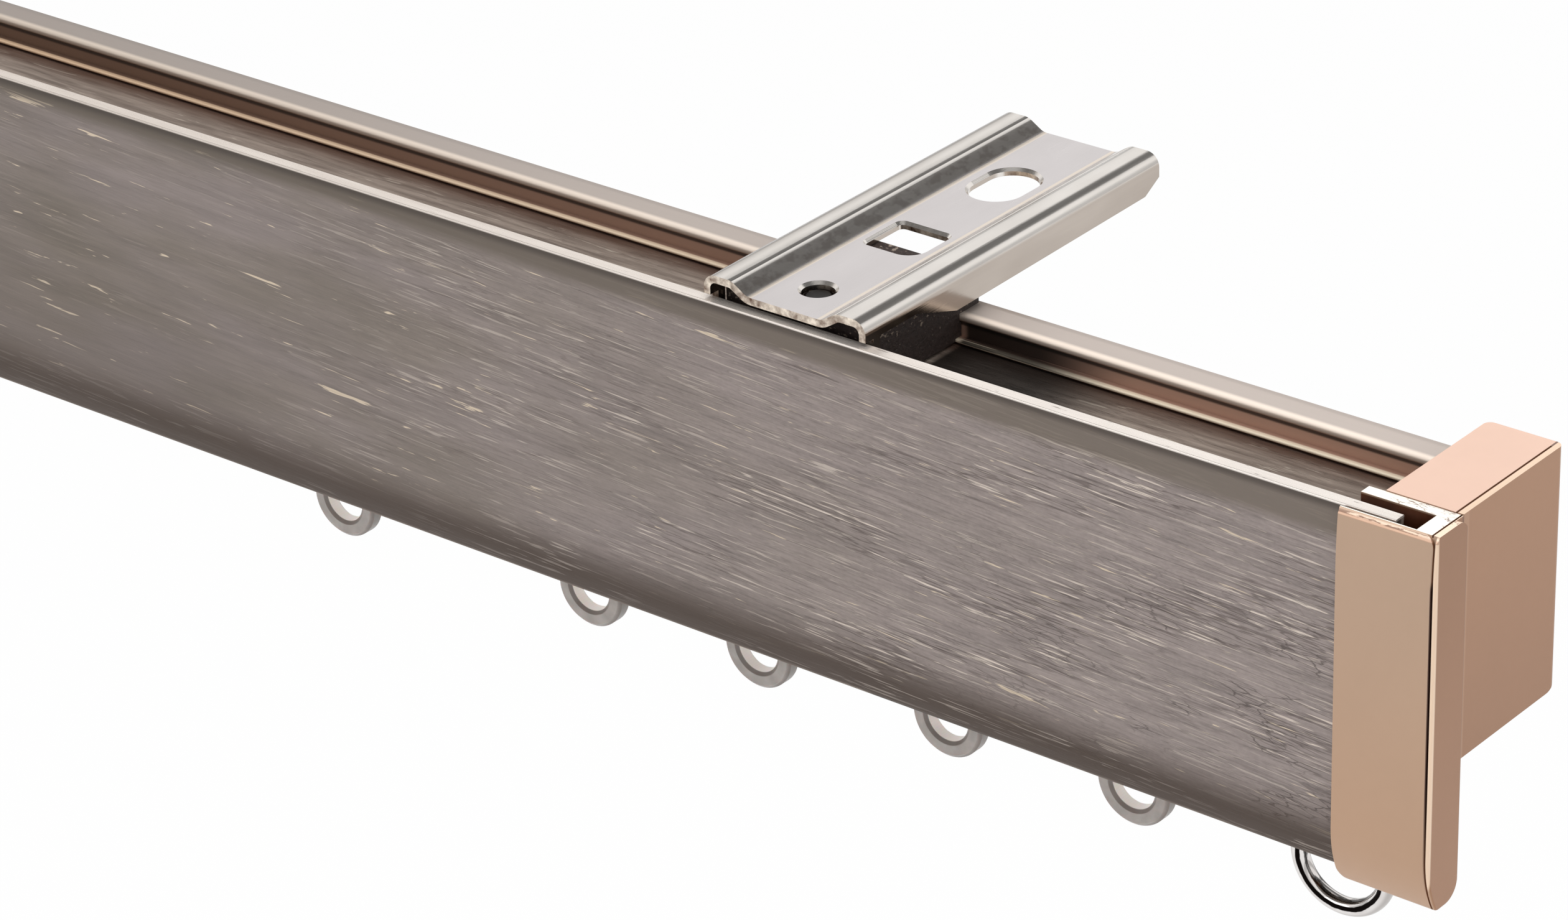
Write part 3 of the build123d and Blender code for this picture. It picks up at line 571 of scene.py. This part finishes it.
def rose_gold_cap():
    """Satin rose-gold moulding: faces painted lighter or darker for how light falls, cream painted
    highlights beside its grooves, a white crazed rim, painted shade in its pocket.
    """
    sleeve_depth = 6.75
    sleeve_rear = in_mm("end_cap_right")[0][1] + sleeve_depth
    finish = Finish("rose_gold_satin", metallic=0.45, roughness=0.36)
    speckle = finish.noise((1.2, 1.2, 1.2), seed=2, detail=4, rough=0.65)
    cloud = finish.noise((0.07, 0.07, 0.05), seed=4)
    mottle = finish.noise((0.5, 0.5, 0.4), seed=6, detail=3)
    on_box = finish.rise(finish.y, sleeve_rear - 0.05, sleeve_rear + 0.1)
    up = finish.rise(finish.facing_z, 0.5, 0.9)
    tone = cap_faces(finish, up, on_box, sleeve_rear)
    tone = cap_grooves(finish, tone, up, on_box)
    tone, rim, pocket, crazing = cap_rim(finish, tone, up, on_box, speckle, mottle)
    tone = finish.shade(tone, 0.95 + cloud * 0.07 + mottle * 0.03)
    finish.feed(Base_Color=tone, Roughness=0.32 + speckle * 0.08 + rim * 0.2)
    finish.feed(Metallic=0.45 - rim * 0.4 - pocket * 0.3)
    finish.feed(Coat_Weight=0.2, Coat_Roughness=0.2)
    relief = speckle * 0.5 - crazing * rim * 2.0
    return finish.bump(relief, distance_mm=0.03, strength=0.4).material


def nickel_bracket():
    """Bright pressed nickel: a duller flat, rounded ribs, dirt in the folds, and painted light and
    shade: darker flanges and undersides, a gray outer left rib, more brown in the left fold, cream
    highlights along the creases.
    """
    low, high = in_mm("bracket_plate_right")
    middle = (low[0] + high[0]) / 2
    flat_z = -1.5
    flat_half = 5.8
    rib_start = 8.2
    rib_half = 2.1
    slope_round = 0.09
    rib_round = 0.045
    left_dirt_and_shade_brown = srgb(120, 100, 88)
    right_dirt_brown = srgb(120, 104, 96)
    outer_shade_gray = srgb(146, 138, 130)
    crease_highlight_cream = srgb(255, 242, 226)
    under_shade_gray = srgb(120, 112, 106)
    finish = Finish("bright_nickel", metallic=1.0, roughness=0.2)
    drawn = finish.noise((7.0, 0.05, 5.0), seed=6, detail=3, rough=0.6)
    cloud = finish.noise((0.25, 0.08, 0.25), seed=8)
    spots = finish.noise((0.7, 0.5, 0.7), seed=14, detail=4, rough=0.6)

    # Places on the cross-section, counted from the bracket's middle
    across = abs(finish.x) - middle
    aside = abs(across)
    slope_in = finish.maths("MINIMUM", finish.largest(aside, flat_half), rib_start) - flat_half
    from_rib = finish.largest(aside, rib_start) - (rib_start + rib_half)
    left = finish.rise(across, 1.0, -1.0)
    on_flat = finish.rise(finish.facing_z, 0.9, 0.99)
    on_flat = on_flat * finish.band(finish.z, flat_z - 0.1, flat_z + 0.15, 0.2)
    flange = finish.rise(abs(finish.facing_x), 0.9, 0.99)
    fold = finish.band(aside, flat_half, flat_half + 1.6, 0.5)
    fold = fold * finish.rise(finish.z, flat_z - 0.1, flat_z + 0.1) * (1.0 - on_flat)
    crease = finish.band(aside, flat_half - 0.6, flat_half - 0.15, 0.15) * on_flat
    outer_left = finish.rise(from_rib, -0.6, 1.4) * left * (1.0 - flange)
    cut_edge = finish.rise(finish.facing_y, -0.6, -0.9)
    under = finish.rise(finish.facing_z, -0.6, -0.9)

    dirt = finish.rise(spots, 0.46, 0.62)
    # Painted light and shade: darker flanges and undersides, a gray outer left rib, cream
    # highlights along the creases, and the left fold always browner, with dirt on top
    tone = finish.layered(
        finish.mix(cloud, srgb(214, 208, 202), srgb(244, 240, 235)),
        (on_flat, finish.mix(cloud, srgb(224, 219, 219), srgb(237, 232, 232))),
        (flange, finish.mix(cloud, srgb(174, 163, 153), srgb(198, 188, 178))),
        (fold * left * (0.10 + 0.25 * dirt), left_dirt_and_shade_brown),
        (fold * (1.0 - left) * dirt * 0.35, right_dirt_brown),
        (outer_left * 0.85, outer_shade_gray),
        (crease * 0.85, crease_highlight_cream),
        (cut_edge, finish.mix(spots * 3.0 - 1.0, srgb(112, 88, 74), srgb(250, 238, 222))),
        (under * 0.5, under_shade_gray),
    )
    tone = finish.shade(tone, 0.95 + drawn * 0.07)
    roughness = 0.13 + drawn * 0.08 + on_flat * 0.12 + cut_edge * 0.25
    finish.feed(Base_Color=tone, Roughness=roughness)
    rounding = slope_in * slope_in * slope_round + from_rib * from_rib * rib_round
    return finish.bump(drawn * 0.008 + spots * 0.006 - rounding, distance_mm=1.0).material


def dark_block():
    """Rough brown-black moulding, with pale chips along its upper edge."""
    top = in_mm("clamp_block_right")[1][2]
    chipped_from, chipped_to = top - 5.5, top - 0.5
    black_brown = srgb(24, 18, 16)
    worn_brown = srgb(66, 51, 46)
    chip_tan = srgb(160, 144, 130)
    finish = Finish("dark_rough_moulding", roughness=0.6)
    grain = finish.noise((1.6, 1.6, 1.6), seed=12, detail=5, rough=0.7)
    chips = finish.noise((1.4, 1.4, 2.2), seed=15, detail=3)
    near_top = finish.rise(finish.z, chipped_from, chipped_to)
    chips = finish.rise(chips + near_top * 0.10, 0.66, 0.74)
    tone = finish.mix(grain * 1.4 - 0.2, black_brown, worn_brown)
    tone = finish.mix(chips * 0.75, tone, chip_tan)
    finish.feed(Base_Color=tone, Roughness=0.50 - chips * 0.2 + grain * 0.15)
    return finish.bump(grain * 0.7 + chips * 0.3, distance_mm=0.4, strength=0.9).material


def screw_steel(name, dark, light):
    """Screw steel with a faint mottle."""
    finish = Finish(name, metallic=0.9, roughness=0.35)
    mottle = finish.noise((1.5, 1.5, 1.5), seed=18, detail=4)
    tone = finish.mix(mottle, dark, light)
    return finish.feed(Base_Color=tone, Roughness=0.28 + mottle * 0.2).material


def gray_moulding(name, dark, light):
    """Nylon moulding: an even gray, with painted shade on the faces that look sideways."""
    finish = Finish(name, roughness=0.38)
    grain = finish.noise((0.8, 0.8, 0.8), seed=21, detail=3)
    flat = finish.rise(abs(finish.facing_y), 0.80, 0.98)
    # Painted shade: the faces that look sideways are darker
    tone = finish.shade(finish.mix(grain, dark, light), 0.62 + flat * 0.38)
    finish.feed(Base_Color=tone, Roughness=0.28 + grain * 0.12)
    return finish.bump(grain, distance_mm=0.02, strength=0.3).material


def clear_glider():
    """Clouded nylon glider: a gray eye whose dark outline is painted shade, and a bright wall
    inside its hole that is a painted highlight beside a painted shade line.
    """
    low, high = in_mm("glider_01")
    eye_radius = 5.5
    hole_radius = 3.2
    nylon_dark = srgb(158, 151, 146)
    nylon_pale = srgb(184, 178, 173)
    outline_shade_brown = srgb(98, 90, 84)
    hole_line_shade_brown = srgb(92, 82, 76)
    hole_highlight_white = srgb(250, 246, 240)
    finish = Finish("clear_gray_nylon", roughness=0.35)
    # The place inside the glider's own box, so that the eye's rings travel with the glider
    inside = finish.split(finish.node("ShaderNodeTexCoord", output="Generated"))
    beside = (inside[0] - 0.5) * (high[0] - low[0])
    above = finish.z - (low[2] + eye_radius)
    radius = finish.maths("SQRT", beside * beside + above * above)
    cloud = finish.noise((0.5, 0.5, 0.5), seed=21, detail=3)
    outline = finish.rise(radius, eye_radius - 0.55, eye_radius - 0.1)
    hole_line = finish.band(radius, hole_radius + 0.1, hole_radius + 0.45, 0.15)
    hole_wall = finish.rise(radius, hole_radius + 0.1, hole_radius - 0.02)
    # Painted shade round the eye and beside the hole, and a painted highlight on the hole's wall
    tone = finish.layered(
        finish.mix(cloud * 2.0 - 0.5, nylon_dark, nylon_pale),
        (outline * 0.55, outline_shade_brown),
        (hole_line * 0.6, hole_line_shade_brown),
        (hole_wall, hole_highlight_white),
    )
    finish.feed(Base_Color=tone, Roughness=0.28 + cloud * 0.12)
    finish.feed(Subsurface_Weight=0.3, Subsurface_Scale=nylon_glow_depth)
    return finish.bump(cloud, distance_mm=0.02, strength=0.3).material


def chrome_ring():
    """Polished chrome wire, with painted dark bands that stand for what a bent wire mirrors from
    its room.
    """
    low, high = in_mm("stop_ring_right")
    wire_radius = (high[1] - low[1]) / 2
    major = (high[0] - low[0]) / 2 - wire_radius
    chrome_dark = srgb(206, 200, 197)
    chrome_pale = srgb(240, 238, 236)
    reflected_band_black = srgb(16, 12, 11)
    outside_reflection_gray = srgb(140, 134, 130)
    finish = Finish("polished_chrome", metallic=1.0, roughness=0.06)
    beside = abs(finish.x) - (low[0] + high[0]) / 2
    above = finish.z - (low[2] + high[2]) / 2
    radius = finish.maths("SQRT", beside * beside + above * above)
    haze = finish.noise((0.5, 0.5, 0.5), seed=25, detail=3)
    # The place across the wire, from -1 inside the ring to 1 outside it
    side = (radius - major) / wire_radius + (haze - 0.5) * 0.3
    outer = finish.band(side, -0.42, 0.02, 0.08)
    inner = finish.band(side, -0.93, -0.80, 0.05)
    # Painted reflections: dark bands across the wire and gray on its outer side
    tone = finish.layered(
        finish.mix(haze, chrome_dark, chrome_pale),
        (finish.largest(outer, inner * 0.85), reflected_band_black),
        (finish.rise(side, 0.3, 0.75) * 0.5, outside_reflection_gray),
    )
    return finish.feed(Base_Color=tone, Roughness=0.05 + haze * 0.08).material


def dress(finishes):
    """Gives every CAD node the finish that its name begins with."""
    for name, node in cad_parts.items():
        key = max((start for start in finishes if name.startswith(start)), key=len)
        node.data.materials.clear()
        node.data.materials.append(finishes[key])


def add_camera():
    """The photograph's camera: forward from yaw and pitch, then rolled about that line."""
    cos_pitch = math.cos(camera_pitch)
    forward = np.array(
        (
            -math.sin(camera_yaw) * cos_pitch,
            math.cos(camera_yaw) * cos_pitch,
            -math.sin(camera_pitch),
        )
    )
    level = np.array((math.cos(camera_yaw), math.sin(camera_yaw), 0.0))
    down = np.cross(forward, level)
    right = math.cos(camera_roll) * level + math.sin(camera_roll) * down
    lower = math.cos(camera_roll) * down - math.sin(camera_roll) * level
    turned = np.eye(4)
    turned[:3, 0] = right
    turned[:3, 1] = -lower
    turned[:3, 2] = -forward
    turned[:3, 3] = camera_place
    lens = bpy.data.cameras.new("photo_camera")
    lens.lens = camera_lens
    lens.sensor_width = sensor_width
    lens.clip_start = camera_near
    lens.clip_end = camera_far
    camera = bpy.data.objects.new("photo_camera", lens)
    camera.matrix_world = Matrix(turned.tolist())
    bpy.context.scene.collection.objects.link(camera)
    bpy.context.scene.camera = camera


def softbox(name, place, aim, size, power, mirrored=True):
    """A rectangular lamp at place, facing aim, that metal shows unless mirrored is False."""
    lamp = bpy.data.lights.new(name, "AREA")
    lamp.shape = "RECTANGLE"
    lamp.size, lamp.size_y = size
    lamp.energy = power
    holder = bpy.data.objects.new(name, lamp)
    holder.rotation_mode = "QUATERNION"
    holder.rotation_quaternion = (Vector(place) - Vector(aim)).to_track_quat("Z", "Y")
    holder.location = place
    holder.visible_glossy = mirrored
    bpy.context.scene.collection.objects.link(holder)


def add_floor():
    """A pale floor far below: white to the camera and in reflections, clear from underneath."""
    corners = [
        (x * floor_reach, y * floor_reach, -floor_drop)
        for x, y in ((-1, -1), (1, -1), (1, 1), (-1, 1))
    ]
    mesh = bpy.data.meshes.new("studio_floor")
    mesh.from_pydata(corners, [], [(0, 1, 2, 3)])
    floor = bpy.data.objects.new("studio_floor", mesh)
    bpy.context.scene.collection.objects.link(floor)
    finish = Finish("studio_floor", roughness=0.9)
    finish.feed(Base_Color=(floor_gray, floor_gray, floor_gray, 1.0))
    path = finish.tree.nodes.new("ShaderNodeLightPath")
    ways = ("Is Camera Ray", "Is Glossy Ray", "Is Transmission Ray")
    seen = finish.largest(*[Value(finish, path.outputs[way]) for way in ways])
    white = finish.node("ShaderNodeEmission", {"Strength": 1.0})
    lit = Value(finish, finish.shader.outputs[0])
    shown = finish.node(
        "ShaderNodeMixShader", {0: seen * floor_white_share, 1: lit, 2: white}
    )
    below = finish.node("ShaderNodeNewGeometry", output="Backfacing")
    clear = finish.node("ShaderNodeBsdfTransparent")
    shown = finish.node("ShaderNodeMixShader", {0: below, 1: shown, 2: clear})
    output = finish.tree.nodes["Material Output"]
    finish.tree.links.new(shown.socket, output.inputs["Surface"])
    mesh.materials.append(finish.material)


def add_room():
    """Surroundings that light the track: white round the horizon, a dark ring, gray overhead.

    The camera sees them as plain white.
    """
    world = bpy.data.worlds.new("studio")
    world.use_nodes = True
    room = Nodes(world.node_tree)
    height = room.split(room.node("ShaderNodeTexCoord", output="Generated"))[2]
    white_ring = room.rise(height, *horizon_rise)
    ring = room.rise(height, dark_ring[0] - dark_ring_fade, dark_ring[0])
    overhead = room.rise(height, dark_ring[1], dark_ring[1] + dark_ring_fade)
    level = horizon_level * (1.0 - white_ring) + white_ring_level * (white_ring - ring)
    level = level + dark_ring_level * (ring - overhead) + overhead_level * overhead
    path = world.node_tree.nodes.new("ShaderNodeLightPath")
    seen = Value(room, path.outputs["Is Camera Ray"])
    level = seen + level * (1.0 - seen)
    background = world.node_tree.nodes["Background"]
    background.inputs["Color"].default_value = room_tint
    room.tree.links.new(level.socket, background.inputs["Strength"])
    bpy.context.scene.world = world


def add_lamps():
    """A large soft lamp above, and weaker ones in front and at the right."""
    softbox(
        "lamp_above",
        place=(0.10, 0.15, 1.1),
        aim=(0.15, 0.0, 0.0),
        size=(1.4, 0.9),
        power=12.0,
        mirrored=False,
    )
    softbox(
        "lamp_front", place=(-0.5, -1.5, 0.5), aim=(0.1, 0.0, 0.0), size=(1.0, 0.8), power=4.0
    )
    softbox(
        "lamp_right", place=(1.6, -0.2, 0.5), aim=(0.3, 0.0, 0.0), size=(0.5, 0.9), power=1.0
    )


finishes = {
    "fascia_panel": brushed_fascia(),
    "track_rail": champagne_rail(),
    "end_cap": rose_gold_cap(),
    "bracket_plate": nickel_bracket(),
    "clamp_block": dark_block(),
    # A black screw, which also gives the painted shade inside the clamp hole
    "clamp_screw": screw_steel("blackened_steel_and_hole_shade", srgb(26, 23, 22), srgb(44, 40, 38)),
    "stop_screw": screw_steel("zinc_plated", srgb(150, 148, 146), srgb(196, 194, 190)),
    "end_stop": gray_moulding("gray_nylon", srgb(120, 115, 110), srgb(140, 134, 128)),
    "glider": clear_glider(),
    "stop_ring": chrome_ring(),
}
dress(finishes)
add_camera()
add_floor()
add_room()
add_lamps()

bpy.context.scene.view_settings.view_transform = "Standard"
